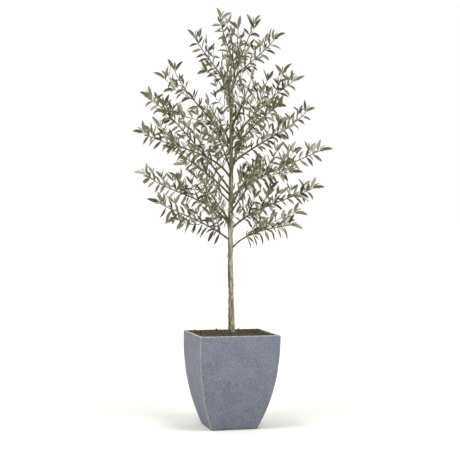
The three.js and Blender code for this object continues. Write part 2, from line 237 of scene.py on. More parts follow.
look = Vector((-math.sin(CAMERA_TURN), math.cos(CAMERA_TURN), 0))
sideways = look.cross(UP)
camera_data = bpy.data.cameras.new("camera")
camera_data.lens = camera_data.sensor_width * FOCAL_PIXELS / IMAGE_WIDTH
camera = show("camera", camera_data)
camera.location = sideways * AXIS_SHIFT - look * CAMERA_DISTANCE + UP * CAMERA_HEIGHT
camera.rotation_euler = (math.pi / 2, 0, CAMERA_TURN)
bpy.context.scene.camera = camera
print("camera at", [round(c, 3) for c in camera.location], "lens", round(camera_data.lens, 1))

# %% [markdown]
# ## The planter
# Square planters like this are cast in a composite of stone dust, resin and glass fibre. The
# mould gives flat walls that bow in towards a small foot, slightly round upright edges and
# a rim about as thick as a thumb. The outline is one square face with its corners rounded,
# which is extruded upwards ring by ring while it is scaled to the planter's width at each
# height. The rim is an inset, and the hollow is the same extrusion downwards.

# %% Sizes of the planter
POT_HEIGHT = 450 * MM
RIM_WIDTH = 390 * MM
FOOT_WIDTH = 223 * MM
POT_BOW = 2.3  # power of the inward curve from rim to foot
POT_DRIFT = 10 * MM  # how far the rim sits off the foot's centre, along +X
POT_CORNER = 8 * MM
POT_CORNER_STEPS = 5
POT_WALL = 14 * MM
POT_FLOOR = 24 * MM
SIDE_CUTS = 38  # points along each side of a ring
WALL_RISE = 0.8  # the normal of a wall rises less than this
LEVEL_RISE = 0.9  # and that of a level face rises more than this


def pot_width(height):
    below = max(0, 1 - height / POT_HEIGHT)
    return RIM_WIDTH - (RIM_WIDTH - FOOT_WIDTH) * below**POT_BOW


def pot_drift(height):
    return POT_DRIFT * min(1, height / POT_HEIGHT)


def round_off(shape, geom, affect, offset, steps):
    bmesh.ops.bevel(
        shape, geom=geom, affect=affect, offset=offset, segments=steps, profile=0.5, material=-1
    )


def rounded_square(width, height, corner, corner_steps):
    """A bmesh with one square face that looks up: corners rounded, sides cut into even edges."""
    shape = bmesh.new()
    bmesh.ops.create_grid(shape, x_segments=1, y_segments=1, size=width / 2)
    round_off(shape, shape.verts[:], "VERTICES", corner, corner_steps)
    sides = [edge for edge in shape.edges if edge.calc_length() > width / 2]
    bmesh.ops.subdivide_edges(shape, edges=sides, cuts=SIDE_CUTS)
    bmesh.ops.translate(shape, verts=shape.verts, vec=(pot_drift(height), 0, height))
    face = shape.faces[:][0]
    if face.normal.z < 0:
        face.normal_flip()
    return shape, face


def extrude_to(shape, face, height, width, old_width):
    """Extrudes a level face to another height and width, and returns the new face."""
    old_centre = Vector((face.calc_center_bounds().x, 0, 0))
    made = bmesh.ops.extrude_face_region(shape, geom=[face, *face.edges])["geom"]
    verts = [item for item in made if isinstance(item, bmesh.types.BMVert)]
    new_face = next(item for item in made if isinstance(item, bmesh.types.BMFace))
    factor = width / old_width
    bmesh.ops.scale(
        shape, verts=verts, vec=(factor, factor, 1), space=Matrix.Translation(-old_centre)
    )
    move = Vector((pot_drift(height) - old_centre.x, 0, height - verts[0].co.z))
    bmesh.ops.translate(shape, verts=verts, vec=move)
    return new_face


def edges_at(shape, height):
    """The edges at a height where a level face meets a wall."""
    found = []
    for edge in shape.edges:
        level = all(abs(vert.co.z - height) < LEVEL_REACH for vert in edge.verts)
        rises = sorted(abs(face.normal.z) for face in edge.link_faces)
        if level and len(rises) == 2 and rises[0] < WALL_RISE and rises[1] > LEVEL_RISE:
            found.append(edge)
    return found


# %% Cast the planter
POT_RINGS = 44
RIM_BEVEL = 4.5 * MM
FOOT_BEVEL = 4 * MM
BEVEL_STEPS = 3
LEVEL_REACH = 0.1 * MM
POT_SHARP_ANGLE = 50
POT_RELIEF = [(0.9 * MM, 45 * MM, 3), (0.5 * MM, 11 * MM, 9)]  # depth, grain and seed
WEAR_REACH = 3 * MM
RIM_WEAR = 0.85
RIM_BAND = (POT_HEIGHT - 4 * MM, POT_HEIGHT - 2 * MM)  # between these heights the rim's wear starts
FOOT_SHADE_BAND = (3 * MM, 9 * MM)  # between these heights the painted contact shade at the foot ends


def cast_planter():
    shell, top = rounded_square(RIM_WIDTH, 0, POT_CORNER, POT_CORNER_STEPS)
    small = FOOT_WIDTH / RIM_WIDTH
    bmesh.ops.scale(shell, verts=shell.verts, vec=(small, small, 1))
    width = FOOT_WIDTH
    for ring in range(1, POT_RINGS + 1):
        height = POT_HEIGHT * ring / POT_RINGS
        top = extrude_to(shell, top, height, pot_width(height), width)
        width = pot_width(height)
    bmesh.ops.inset_region(shell, faces=[top], thickness=POT_WALL, use_even_offset=True)
    width -= 2 * POT_WALL
    for ring in range(1, POT_RINGS):
        height = lerp(POT_HEIGHT, POT_FLOOR, ring / (POT_RINGS - 1))
        inner_width = pot_width(height) - 2 * POT_WALL
        top = extrude_to(shell, top, height, inner_width, width)
        width = inner_width
    shell.normal_update()
    for height, offset in ((POT_HEIGHT, RIM_BEVEL), (0, FOOT_BEVEL)):
        round_off(shell, edges_at(shell, height), "EDGES", offset, BEVEL_STEPS)
    return shell


def wear_of(point):
    """How much of the coat is rubbed off at a point: most on the upright edges and the rim."""
    half = pot_width(point.z) / 2
    off_x = half - abs(point.x - pot_drift(point.z))
    off_y = half - abs(point.y)
    crest = POT_CORNER * (1 - math.sqrt(0.5))  # the round edge lies this far in from both walls
    upright = math.exp(-((max(0, max(off_x, off_y) - crest) / WEAR_REACH) ** 2))
    return max(upright, RIM_WEAR * smooth_step(point.z, *RIM_BAND))


def damp_of(point):
    """Painted contact shade where the foot meets the floor: 1 at the foot."""
    return 1 - smooth_step(point.z, *FOOT_SHADE_BAND)


planter = cast_planter()
for relief in POT_RELIEF:
    ruffle(planter, *relief)
for vertex in planter.verts:
    vertex.co.z = min(POT_HEIGHT, max(0, vertex.co.z))
planter_mesh = mesh_of("planter", planter, POT_SHARP_ANGLE)
mark(planter_mesh, wear=wear_of, damp=damp_of)

# %% [markdown]
# ### Cast stone composite
# The wall is matt and blue-grey. Stone dust in the resin shows as fine lighter and darker
# specks a few millimetres across, the colour clouds over a hand's width, and small air bubbles
# left pits. Where hands and pallets rubbed the upright edges and the rim, the cream filler
# shows through, which the wear attribute places and a noise breaks up. Dark blotches along the
# foot are painted contact shade where the planter meets the floor, placed in the same way.

# %% Cast stone finish
WEAR_RAGGED = 1.6  # how far the noise breaks up the edge of the wear


def cast_stone():
    material, tree, shader = new_finish("cast_stone_composite", "#8c93a0", 0.86, 0.3)
    clouds = grains(tree, 70 * MM, 3)
    specks = grains(tree, 4.4 * MM, 3)
    fine = grains(tree, 2.7 * MM)
    wear, damp = (
        add_node(tree, "ShaderNodeAttribute", "Fac", {}, attribute_name=name)
        for name in ("wear", "damp")
    )
    ragged = {0: grains(tree, 8 * MM, 3), 1: WEAR_RAGGED, 2: wear}
    rubbed = add_node(tree, "ShaderNodeMath", 0, ragged, operation="MULTIPLY_ADD")
    # The dark blotches along the foot are painted contact shade where the planter meets the floor.
    foot_shade_blotches = {0: grains(tree, 26 * MM), 1: damp}
    painted_foot_shade = add_node(tree, "ShaderNodeMath", 0, foot_shade_blotches, operation="ADD")
    layers = [
        ("#6d7384", clouds, 0.3, 0.7),
        ("#878988", specks, 0.52, 0.68),
        ("#50566a", specks, 0.46, 0.3),
        ("#a19b86", fine, 0.58, 0.7),
        ("#55514a", fine, 0.36, 0.27),
        ("#aba590", rubbed, 1.45, 1.86),
        ("#453f2e", painted_foot_shade, 1.46, 1.58),
    ]
    pits = {0: fine, 1: 0.4, 2: specks}
    relief = add_node(tree, "ShaderNodeMath", 0, pits, operation="MULTIPLY_ADD")
    dress(shader, layered(tree, linear("#61677b"), layers), relief, 0.8 * MM)
    span = {"Value": specks, "From Min": -0.6, "From Max": 1.1}
    roughness = add_node(
        tree, "ShaderNodeMapRange", "Result", span, interpolation_type="SMOOTHSTEP"
    )
    set_inputs(shader, {"Roughness": roughness})
    return material


make_piece("planter", planter_mesh, [cast_stone()], ["pot"])

# %% [markdown]
# ## The soil
# Potting soil is bark, peat and grit. It lies just under the rim and rises in a low mound to
# the trunk. The body is the planter's own outline, inset ring by ring and lifted to the
# mound's height. The crumbs on it are one small lump, repeated at random places, sizes and
# turns in a single mesh.

# %% Soil body
SOIL_EDGE = 448 * MM
SOIL_CREST = 456 * MM
SOIL_RINGS = 26
CREST_WIDTH = 70 * MM
SOIL_DEPTH = 60 * MM
SOIL_SHOULDER = 3 * MM  # from the top of its side up to its edge
SOIL_CORNER = POT_CORNER * 0.8
SOIL_CORNER_STEPS = 3
SOIL_CLEARANCE = 0.6 * MM
SOIL_SETTLED = 2 * MM  # how far the ground lies under the crests of its crumbs
SOIL_LUMPS = [(9 * MM, 1), (4 * MM, 0.6)]  # grain and strength
LUMP_HEIGHT = 1.8 * MM
# Small heaps and hollows by the trunk: centre, height and radius.
HEAPS = [(-6 * MM, -10 * MM, 8 * MM, 13 * MM), (22 * MM, -20 * MM, -6 * MM, 16 * MM)]


def soil_height(x, y):
    """Height of the mound at a place, from the edge up to the level spot under the trunk."""
    edge = pot_width(SOIL_EDGE) / 2 - POT_WALL
    off_centre = max(abs(x - POT_DRIFT), abs(y))
    share = min(1, max(0, (edge - off_centre) / (edge - CREST_WIDTH / 2)))
    height = lerp(SOIL_EDGE, SOIL_CREST, math.sin(share * math.pi / 2))
    for heap_x, heap_y, rise, radius in HEAPS:
        gap = math.hypot(x - heap_x, y - heap_y) / radius
        height += rise * math.exp(-gap * gap)
    return height


def soil_width(height):
    return pot_width(height) - 2 * (POT_WALL + SOIL_CLEARANCE)


def fill_soil():
    low = SOIL_EDGE - SOIL_DEPTH
    shape, top = rounded_square(soil_width(low), low, SOIL_CORNER, SOIL_CORNER_STEPS)
    wide = soil_width(SOIL_EDGE)
    top = extrude_to(shape, top, SOIL_EDGE - SOIL_SHOULDER, wide, soil_width(low))
    step = wide / SOIL_RINGS
    for ring in range(1, SOIL_RINGS):
        narrow = wide * (1 - ring / SOIL_RINGS)
        top = extrude_to(shape, top, SOIL_EDGE, narrow, narrow + step)
    return shape


soil = fill_soil()
for vertex in soil.verts:
    if vertex.co.z > SOIL_EDGE - SOIL_SHOULDER / 2:
        lump = sum(strength * noise.noise(vertex.co / grain) for grain, strength in SOIL_LUMPS)
        ground = soil_height(vertex.co.x, vertex.co.y) - SOIL_SETTLED
        vertex.co.z = ground + LUMP_HEIGHT * lump
soil_mesh = mesh_of("potting_soil", soil)

# %% [markdown]
# ### Potting soil
# Damp peat is dark olive-brown and quite matt. A coarse noise mixes peat with paler bark, and
# a strong bump of a few millimetres keeps the surface from looking like poured paint.

# %% Soil finish
def peat(name, dark, light):
    material, tree, shader = new_finish(name, dark, 0.95, 0.2)
    lumps = grains(tree, 6 * MM, 4)
    dress(shader, layered(tree, linear(dark), [(light, lumps, 0.4, 0.7)]), lumps, 3 * MM)
    return material


soil_material = peat("damp_peat", "#38331f", "#48432d")
bark_chip_material = peat("bark_chips", "#5f563a", "#837959")
make_piece("potting_soil", soil_mesh, [soil_material], ["soil"])

# %% [markdown]
# ### Crumbs
# One crumb is an icosphere pulled out of round. Its vertices are an array, so each turned and
# scaled copy is one multiplication, and the copies become one mesh with no instances.

# %% Repeat a small shape
def shape_arrays(shape):
    """A bmesh as an array of vertices, a list of faces and each face's material."""
    shape.verts.index_update()
    points = np.array([vertex.co for vertex in shape.verts])
    faces = [[vertex.index for vertex in face.verts] for face in shape.faces]
    looks = np.array([face.material_index for face in shape.faces])
    shape.free()
    return points, faces, looks


def repeated_mesh(name, placed, faces, looks, first_looks):
    """One mesh of many copies: placed holds each copy's vertices, first_looks its first material."""
    copies, corners = placed.shape[:2]
    every_face = [[i + corners * copy for i in face] for copy in range(copies) for face in faces]
    mesh = bpy.data.meshes.new(name)
    mesh.from_pydata(placed.reshape(-1, 3), [], every_face)
    dealt = (looks[None, :] + np.asarray(first_looks)[:, None]).ravel()
    mesh.polygons.foreach_set("material_index", dealt.astype(np.int32))
    return soften(mesh)


# %% Scatter the crumbs
CRUMBS = 620
CRUMB_SIZES = (1.6 * MM, 6 * MM)
CRUMB_RARITY = 2.5  # the higher, the fewer crumbs are large
CRUMB_LUMPS = 0.35  # how far a crumb is out of round
CRUMB_GRAIN = 1.3
CRUMB_FLATNESS = (1, 0.8, 0.6)
CRUMB_SUNK = 1 * MM
CRUMB_MARGIN = 5 * MM  # free of crumbs along the wall
CHIP_SHARE = 0.03
# Larger clods by the back wall: place and radius.
CLODS = [(-23 * MM, 168 * MM, 6 * MM), (90 * MM, 168 * MM, 5.5 * MM)]

crumb = bmesh.new()
bmesh.ops.create_icosphere(crumb, subdivisions=1, radius=1)
for vertex in crumb.verts:
    vertex.co *= 1 + CRUMB_LUMPS * noise.noise(vertex.co * CRUMB_GRAIN)
crumb_points, crumb_faces, crumb_looks = shape_arrays(crumb)

chooser = np.random.default_rng(7)
soil_reach = pot_width(SOIL_EDGE) / 2 - POT_WALL - CRUMB_MARGIN
crumb_copies = []
crumb_kinds = []
for _ in range(CRUMBS):
    x, y = chooser.uniform(-soil_reach, soil_reach, 2)
    size = lerp(*CRUMB_SIZES, chooser.random() ** CRUMB_RARITY)
    turn = Matrix.Rotation(chooser.uniform(0, math.tau), 3, chooser.normal(size=3))
    flat = Matrix.Diagonal([size * share for share in CRUMB_FLATNESS])
    place = np.array([x + POT_DRIFT, y, soil_height(x + POT_DRIFT, y) - CRUMB_SUNK])
    crumb_copies.append(crumb_points @ np.array(turn @ flat).T + place)
    crumb_kinds.append(int(chooser.random() < CHIP_SHARE))
for x, y, size in CLODS:
    place = np.array([x, y, soil_height(x, y) + size / 3])
    crumb_copies.append(crumb_points * size + place)
    crumb_kinds.append(0)
placed = np.array(crumb_copies)
crumb_mesh = repeated_mesh("soil_crumbs", placed, crumb_faces, crumb_looks, crumb_kinds)
make_piece("soil_crumbs", crumb_mesh, [soil_material, bark_chip_material])

# %% [markdown]
# ## How the tree grows
# The limbs come from one table: where each leaves the trunk, which way it goes, how far it
# reaches and rises, and its angles at both ends. A limb is one cubic curve in the upright
# plane at its azimuth. The same table and rule made the solids, so what grows here fills the
# same space, only with finer twigs and leaves of their real size.

# %% Limbs of the tree
# Centre line of the trunk in millimetres: [x, y, z].
TRUNK_LINE = [
    [12, 0, 456.3],
    [11, 2, 620],
    [7, 1, 760],
    [6, -5, 1000],
    [9, -7, 1240],
    [11, 0, 1460],
    [13, 3, 1590],
    [21, -1, 1650],
    [33, -7, 1750],
]

# Limbs from the lowest up: height on the trunk, azimuth in degrees from +X, reach, rise,
# angle above level where it leaves and where it arrives, and the bare share of its length.
LIMBS = [
    [848, 322, 308, 119, 51, 7, 0.28],
    [892, 178, 341, 178, 41, 27, 0.13],
    [905, 84, 380, 185, 46, 22, 0.3],
    [945, 358, 410, 202, 47, 24, 0.15],
    [962, 142, 465, 259, 56, 36, 0.2],
    [982, 235, 352, 185, 26, 30, 0.3],
    [1025, 274, 372, 213, 28, 51, 0.28],
    [1054, 52, 345, 201, 40, 17, 0.28],
    [1074, 100, 309, 165, 25, 38, 0.3],
    [1103, 340, 423, 218, 42, 25, 0.18],
    [1108, 208, 355, 205, 40, 24, 0.28],
    [1132, 136, 472, 479, 51, 38, 0.24],
    [1188, 182, 429, 213, 62, 27, 0.26],
    [1205, 68, 390, 240, 44, 30, 0.28],
    [1222, 242, 350, 220, 40, 38, 0.3],
    [1258, 16, 432, 277, 41, 43, 0.24],
    [1287, 146, 297, 441, 80, 67, 0.24],
    [1317, 226, 216, 72, 60, 21, 0],
    [1331, 294, 345, 178, 26, 14, 0.28],
    [1345, 96, 340, 240, 46, 36, 0.28],
    [1365, 0, 309, 303, 56, 35, 0.24],
    [1420, 276, 270, 215, 44, 46, 0.28],
    [1440, 52, 285, 225, 48, 42, 0.28],
    [1500, 88, 225, 205, 52, 48, 0],
    [1520, 250, 185, 180, 48, 52, 0],
    [1559, 208, 152, 134, 45, 5, 0],
    [1579, 136, 204, 306, 73, 59, 0.26],
    [1600, 62, 165, 190, 50, 56, 0],
    [1676, 321, 209, 170, 45, 47, 0],
    [1690, 250, 120, 165, 48, 62, 0],
    [1705, 100, 115, 150, 50, 62, 0],
    [1718, 26, 118, 230, 58, 62, 0],
    [1732, 186, 76, 226, 66, 80, 0],
    [1751, 20, 12, 165, 85, 88, 0],
]

# Long side branches: the limb that carries each, the share of that limb's length where it
# starts, then its azimuth, reach, rise and angles as above.
FORKS = [
    [1, 0.37, 6, 52, 106, 49, 56],
    [1, 0.49, 354, 181, 92, 29, 13],
    [2, 0.15, 146, 39, 102, 64, 58],
    [2, 0.43, 201, 143, 14, -36, 3],
    [4, 0.18, 36, 85, 106, 54, 45],
    [5, 0.24, 171, 78, 144, 71, 61],
    [10, 0.24, 316, 217, 48, 29, 8],
    [12, 0.69, 171, 65, 89, 26, 63],
    [13, 0.59, 156, 108, 98, 12, 58],
    [17, 0.31, 201, 202, 54, 35, 21],
    [17, 0.82, 176, 89, 35, 25, 53],
    [21, 0.48, 26, 59, 147, 69, 60],
    [21, 0.72, 326, 46, 106, 63, 62],
]

# Slighter side branches, which the solids leave to this script, in the same columns.
FINER_FORKS = [
    [4, 0.38, 20, 62, 96, 60, 55],
    [5, 0.45, 175, 70, 88, 60, 45],
    [10, 0.34, 14, 100, 130, 45, 60],
    [10, 0.56, 14, 58, 80, 50, 60],
    [11, 0.5, 185, 84, 30, 20, 10],
    [13, 0.1, 110, 60, 56, 45, 35],
    [13, 0.2, 250, 58, 30, 30, 25],
    [15, 0.2, 190, 56, 40, 40, 30],
    [16, 0.5, 16, 50, 62, 60, 55],
    [17, 0.66, 190, 96, 44, 25, 15],
]

# Limbs that stand where the crown is full: fewer leaves there, and no finer shoots.
CROWDED = {3, 6, 9, 11, 15, 17, 18, 20, 22, 23, 24, 26, 28, 30, 31, 32, 34}
# The lowest limbs, whose lower leaves hang.
HANGING = {1, 2}

# %% [markdown]
# ### Lines, headings and chance
# A line is a run of points that can be asked for the place and the heading at any share of its
# length. The rule's chance is a formula of two numbers, so every run of this script grows the
# same tree, and a shoot here starts where the solid's shoot starts.

# %% The growing rule
TWIG_STEP = 5 * MM
HEADING_REACH = 0.03  # the share of a line, to either side, that its heading is taken over
TRUNK_CUTS = 24  # points between two knots of the trunk's line
CURVE_CUTS = 60
UPRIGHT = 1e-3  # a heading with a level part shorter than this counts as upright


def chance(a, b):
    """The same pair of numbers always gives the same share between 0 and 1."""
    wave = math.sin(a * 12.9898 + b * 78.233) * 43758.5453
    return wave - math.floor(wave)


def between(low, high, seed, draw):
    return lerp(low, high, chance(seed, draw))


class Line:
    """A smooth run of points with the place and heading at any share of its length."""

    def __init__(self, points):
        self.points = np.array([tuple(point) for point in points])
        steps = np.linalg.norm(np.diff(self.points, axis=0), axis=1)
        self.length = steps.sum()
        self.shares = np.concatenate(([0], np.cumsum(steps))) / self.length

    def point(self, share):
        return Vector([np.interp(share, self.shares, axis) for axis in self.points.T])

    def heading(self, share):
        before = self.point(max(0, share - HEADING_REACH))
        return (self.point(min(1, share + HEADING_REACH)) - before).normalized()

    def part(self, start, end):
        count = max(3, round((end - start) * self.length / TWIG_STEP))
        return Line([self.point(share) for share in np.linspace(start, end, count + 1)])


def trunk_line():
    """The trunk's centre line: a centripetal spline through its points, as the solid has."""
    knots = [Vector(point) * MM for point in TRUNK_LINE]
    knots = [2 * knots[0] - knots[1], *knots, 2 * knots[-1] - knots[-2]]
    points = []
    for a, b, c, d in zip(knots, knots[1:], knots[2:], knots[3:]):
        before, across, after = ((q - p).length ** 0.5 for p, q in ((a, b), (b, c), (c, d)))
        leave = ((b - a) / before - (c - a) / (before + across) + (c - b) / across) * across
        arrive = ((c - b) / across - (d - b) / (across + after) + (d - c) / after) * across
        handles = (b + leave / 3, c - arrive / 3)
        points += geometry.interpolate_bezier(b, *handles, c, TRUNK_CUTS)[:-1]
    return Line([*points, knots[-2]])


def rising_curve(foot, azimuth, reach, rise, leave, arrive):
    """A curve in the upright plane at an azimuth, by its reach, rise and end angles."""
    third = math.hypot(reach, rise) / 3
    tip = foot + heading(azimuth) * reach + UP * rise
    after_foot = foot + heading(azimuth, leave) * third
    before_tip = tip - heading(azimuth, arrive) * third
    return Line(geometry.interpolate_bezier(foot, after_foot, before_tip, tip, CURVE_CUTS))


def branch_off(along, turn, angle):
    """The direction that leaves `along` by an angle, on the side given by a turn about it."""
    level = along.cross(UP)
    if level.length < UPRIGHT:
        level = Vector((1, 0, 0))
    level.normalize()
    upper = level.cross(along)
    outward = level * math.cos(turn) + upper * math.sin(turn)
    return (along * math.cos(angle) + outward * math.sin(angle)).normalized()


# %% [markdown]
# ## Wood
# An olive's young wood is slender and tapers slowly. Each stretch of wood is a spline in
# a curve object with a round bevel, whose radius is set point by point, so that a taper,
# a swollen joint and a collar cost nothing. The curve is then turned into a mesh, which gets
# its bark relief in code.

# %% Wood tools
WOOD_STEP = 3 * MM  # between the rings of the trunk and of the boughs
WELD = 0.02 * MM
BARK_ANGLE = 80  # edges of the wood over this angle stay sharp, in degrees
JOINT_SWELLING = 0.28
JOINT_LENGTH = 3.5 * MM


def new_wood(name, bevel_resolution):
    """An empty curve with a round section; it has twice the resolution plus four sides."""
    curve = bpy.data.curves.new(name, "CURVE")
    curve.dimensions = "3D"
    curve.bevel_depth = 1
    curve.bevel_resolution = bevel_resolution
    curve.use_fill_caps = True
    return curve


def add_wood(curve, line, radii):
    """Adds a stretch of wood along a line, with a radius at each of its points."""
    spline = curve.splines.new("POLY")
    spline.points.add(len(line.points) - 1)
    for knot, point, radius in zip(spline.points, line.points, radii):
        knot.co = (*point, 1)
        knot.radius = radius


def wood_shape(curve):
    """The curve as a closed bmesh, with its end caps welded on."""
    carrier = show(curve.name, curve)
    evaluated = carrier.evaluated_get(bpy.context.evaluated_depsgraph_get())
    mesh = bpy.data.meshes.new_from_object(evaluated)
    shape = bmesh.new()
    shape.from_mesh(mesh)
    bmesh.ops.remove_doubles(shape, verts=shape.verts, dist=WELD)
    bpy.data.objects.remove(carrier)
    bpy.data.meshes.remove(mesh)
    return shape


# %% [markdown]
# ### The trunk
# The trunk is as thick as a thumb, with long shallow ridges, scars where side shoots were
# pruned off, and a collar under each bough. It flares a little into three roots at the soil.
# Ridges are noise stretched along the wood; scars and collars are round swellings at
# their real places.

# %% Sizes of the trunk
TRUNK_FOOT = 456.3 * MM
TRUNK_SUNK = 8 * MM  # how deep its foot goes into the soil
FOOT_RADIUS = 14.4 * MM
CROWN_RADIUS = 7.6 * MM
LEADER_RADIUS = 3.2 * MM
LEADER_START = 1590 * MM
LEADER_FULL = 1650 * MM
FLARE = 4 * MM
FLARE_HEIGHT = 38 * MM
FLARE_LOBES = 3
FLARE_DEPTH = 0.6  # how far the flare swells at the roots and shrinks between them
FLARE_TURN = math.radians(300)  # where one of the three roots shows
PAINTED_SUNLIT_AZIMUTH = 300  # azimuth of the trunk's side that gets a painted highlight, towards the right-hand key
PAINTED_SUNLIT_EDGE = (0.3, 0.85)  # the painted highlight starts and is full at these cosines off that side
PAINTED_CROWN_SHADE = (900 * MM, 1080 * MM)  # between these heights the painted highlight fades out, as painted shade under the crown
SCAR_REACH = 5 * MM
SCAR_HEART = 1.6  # how far the dark of a scar reaches, by its size
LIMB_SWELLING = 2 * MM  # of the trunk under a limb
SWELLING_REACH = 8 * MM
SWELLING_DROP = 2 * MM
# Relief of the bark: depth, grain, seed and stretch along the trunk.
BARK_RELIEF = [(1.1 * MM, 7 * MM, 2, 7), (2.2 * MM, 14 * MM, 5, 1.3), (0.6 * MM, 4 * MM, 8, 2)]
# Pruning scars: height, azimuth in degrees and size.
SCARS = [
    (676 * MM, 346, 2.6 * MM),
    (760 * MM, 166, 2.4 * MM),
    (817 * MM, 170, 2.0 * MM),
    (600 * MM, 250, 1.6 * MM),
    (548 * MM, 345, 1.8 * MM),
    (706 * MM, 60, 2.2 * MM),
    (870 * MM, 262, 1.4 * MM),
]

trunk = trunk_line()


def trunk_centre(height):
    return Vector([np.interp(height, trunk.points[:, 2], axis) for axis in trunk.points.T])


def trunk_radius(height):
    """Radius without the root flare."""
    share = (height - TRUNK_FOOT) / (LEADER_START - TRUNK_FOOT)
    stem = lerp(FOOT_RADIUS, CROWN_RADIUS, min(1, share))
    return lerp(stem, LEADER_RADIUS, smooth_step(height, LEADER_START, LEADER_FULL))


def swellings():
    """The scars and bough collars on the trunk: centre, height above the bark and radius."""
    found = []
    for height, azimuth, size in SCARS:
        centre = trunk_centre(height) + heading(azimuth) * trunk_radius(height)
        found.append((centre, size, SCAR_REACH))
    for height, azimuth, *_ in LIMBS:
        radius = trunk_radius(height * MM)
        centre = trunk_centre(height * MM) + heading(azimuth) * radius - UP * SWELLING_DROP
        found.append((centre, min(LIMB_SWELLING, radius / 4), SWELLING_REACH))
    return found


def grow_trunk():
    wood = new_wood("trunk", 14)
    count = round(trunk.length / WOOD_STEP)
    stem = [trunk.point(share) for share in np.linspace(0, 1, count)]
    line = Line([stem[0] - UP * TRUNK_SUNK, *stem])
    add_wood(wood, line, [trunk_radius(point[2]) for point in line.points])
    shape = wood_shape(wood)
    lumps = swellings()
    for vertex in shape.verts:
        centre = trunk_centre(vertex.co.z)
        outward = (vertex.co - centre).normalized()
        turn = math.atan2(outward.y, outward.x)
        above = vertex.co.z - TRUNK_FOOT
        lobe = 1 + FLARE_DEPTH * math.cos(FLARE_LOBES * (turn - FLARE_TURN))
        push = FLARE * math.exp(-above / FLARE_HEIGHT) * lobe
        for lump_centre, size, radius in lumps:
            gap = (vertex.co - lump_centre).length / radius
            if gap < 3:
                push += size * math.exp(-gap * gap)
        vertex.co += outward * push
    for relief in BARK_RELIEF:
        ruffle(shape, *relief)
    return mesh_of("trunk", shape, BARK_ANGLE)


scars = swellings()[: len(SCARS)]


def scar_of(point):
    """How close a point is to a pruning scar: 1 at its heart."""
    gaps = [(point - centre).length / (size * SCAR_HEART) for centre, size, _ in scars]
    return math.exp(-min(gaps) ** 2)


def sunny_of(point):
    """How much painted highlight the bark gets at a point: most on the side towards the right-hand
    key, none under the crown, where it is painted shade.
    """
    outward = (point - trunk_centre(point.z)).normalized()
    outside_painted_crown_shade = 1 - smooth_step(point.z, *PAINTED_CROWN_SHADE)
    return outside_painted_crown_shade * smooth_step(outward.dot(heading(PAINTED_SUNLIT_AZIMUTH)), *PAINTED_SUNLIT_EDGE)


trunk_mesh = grow_trunk()
mark(trunk_mesh, scar=scar_of, sunny=sunny_of)

# %% [markdown]
# ### Olive bark
# Young olive bark is smooth, dry and grey-olive, with fine upright streaks of paler cork and
# darker cracks between them. The side towards the right-hand key has a painted highlight that
# fades to painted shade under the crown, and old scars are almost black at their heart. A noise
# stretched along the stem gives the streaks, which the painted highlight shifts towards the pale
# end, and a finer noise gives the grain of the cork.

# %% Bark finish
PAINTED_HIGHLIGHT_SHIFT = 0.12  # how far the painted highlight moves the streaks towards the pale end


def olive_bark(name, dark, middle, light, streak, stretch):
    material, tree, shader = new_finish(name, middle, 0.82, 0.25)
    streaks = grains(tree, streak, 3, (1, 1, 1 / stretch))
    cork = grains(tree, streak * 0.6, 4)
    sunny, scar = (
        add_node(tree, "ShaderNodeAttribute", "Fac", {}, attribute_name=attribute)
        for attribute in ("sunny", "scar")
    )
    # The painted highlight on the side towards the right-hand key lifts the streaks to the pale
    # colour; under the crown it fades out as painted shade.
    painted_highlight_lift = {0: sunny, 1: PAINTED_HIGHLIGHT_SHIFT, 2: streaks}
    streaks_and_painted_highlight = add_node(tree, "ShaderNodeMath", 0, painted_highlight_lift, operation="MULTIPLY_ADD")
    layers = [
        (light, streaks_and_painted_highlight, 0.52, 0.68),
        (dark, streaks_and_painted_highlight, 0.5, 0.36),
        (light, cork, 0.62, 0.8),
        ("#4b4632", scar, 0.2, 0.9),
    ]
    dress(shader, layered(tree, linear(middle), layers), streaks, 1.2 * MM, 0.8)
    return material


trunk_bark = olive_bark("olive_bark", "#47422c", "#6d674e", "#a6a392", 5 * MM, 12)
bough_bark = olive_bark("young_olive_bark", "#3b3720", "#575237", "#7d785c", 5 * MM, 3)
make_piece("trunk_bark", trunk_mesh, [trunk_bark], ["trunk"])

# %% [markdown]
# ### Boughs and twigs
# A bough is the bare, lower part of a limb. It leaves the trunk with a collar and thins
# towards its leafy part. Beyond it the same limb goes on as a stem, which carries forks,
# side shoots and finer twigs. The wood swells at every joint where a pair of leaves stood.

# %% Sizes of the limbs
LIMB_FOOT_RADIUS = 4.9 * MM
LIMB_TIP_RADIUS = 1.7 * MM
LIMB_FULL_LENGTH = 450 * MM
TAPER = 1.4  # over 1, a limb keeps its strength for longer before it thins
COLLAR = 2.2 * MM
COLLAR_LENGTH = 10 * MM
FORK_RADII = (2.1 * MM, 1.2 * MM)
SHOOT_RADII = (1.3 * MM, 0.8 * MM)
FIRST_NODE = 14 * MM
TRUNK_NODE = 38 * MM
FORK_NODE = 34 * MM
SHADED_LENGTH = 75 * MM  # limbs in the shade by the trunk have dropped their own leaves so far
NODE_SPACING = 70 * MM
NODE_WANDER = 0.6
LEAN = 0.8  # how far a pair may stand off the upright plane of its stem, in radians
LEAF_SPACING = 33 * MM
WIDE_SPACING = 58 * MM
FINER_REACH = (92 * MM, 24 * MM)
FINER_SHARE = 0.35  # longest finer shoot as a share of its stem
FINER_LIFT = 0.1
SHOOT_ROSETTES = 0.25
STEM_ROSETTES = 0.4
TUFTED_PART = 0.7  # share of a stem from which every joint has its young leaves

